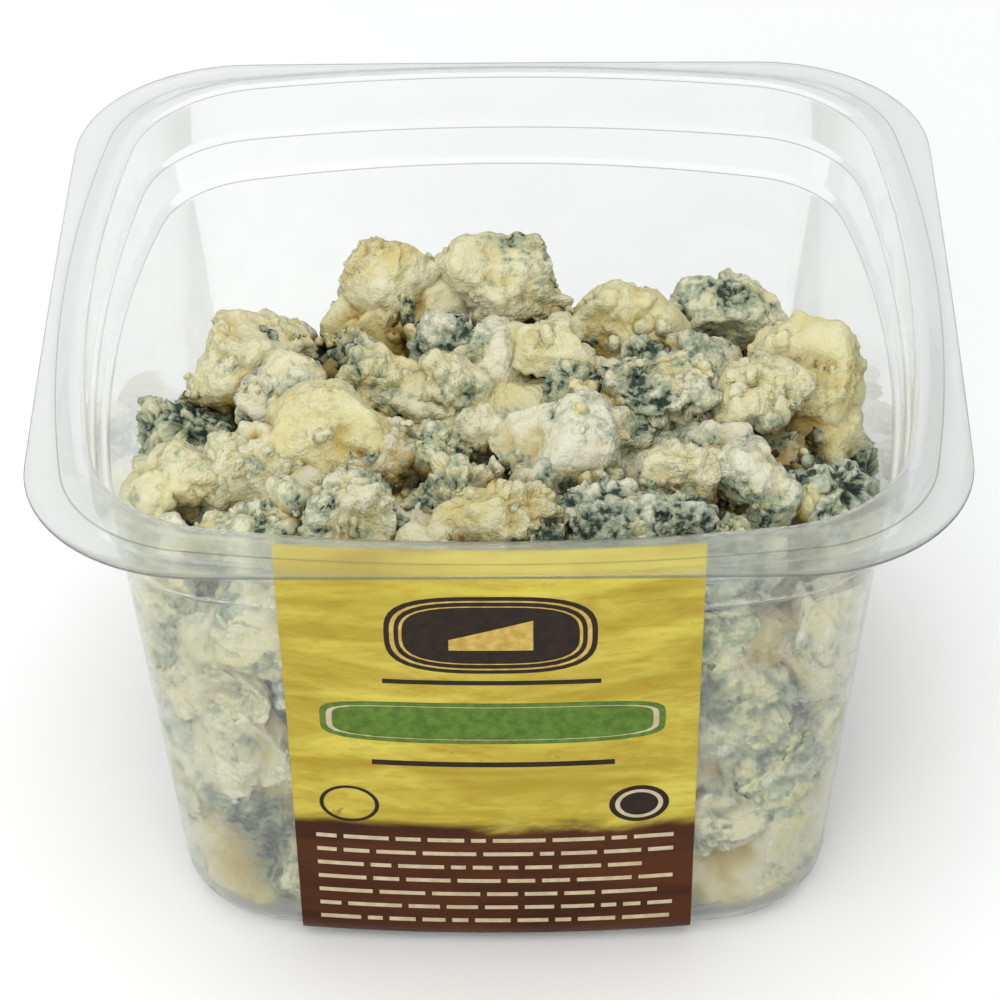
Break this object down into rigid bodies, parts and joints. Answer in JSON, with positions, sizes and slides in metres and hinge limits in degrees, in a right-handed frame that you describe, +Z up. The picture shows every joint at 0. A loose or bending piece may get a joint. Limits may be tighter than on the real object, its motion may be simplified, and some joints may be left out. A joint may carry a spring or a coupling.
{
  "type": "open clear plastic tub of crumbled gorgonzola cheese",
  "caption": "Open square clear plastic tub with a flanged rim, filled with crumbled blue-veined cheese, with a plain printed paper label on its front wall.",
  "frame": {"origin": "middle of the tub's base, on the surface it stands on", "axes": "+Z up, -Y towards the front wall that carries the label, +X to the right seen from the front"},
  "size_m": [0.13, 0.13, 0.0822],
  "materials": {
    "clear_plastic": "clear, smooth, thermoformed",
    "cheese": "moist crumbled cheese, cream and pale yellow with blue-green veins",
    "label_paper": "satin printed paper, mottled yellow over a dark brown foot"
  },
  "bodies": {
    "root": {"tub": "clear_plastic", "cheese": "cheese", "label": "label_paper"}
  },
  "joints": []
}
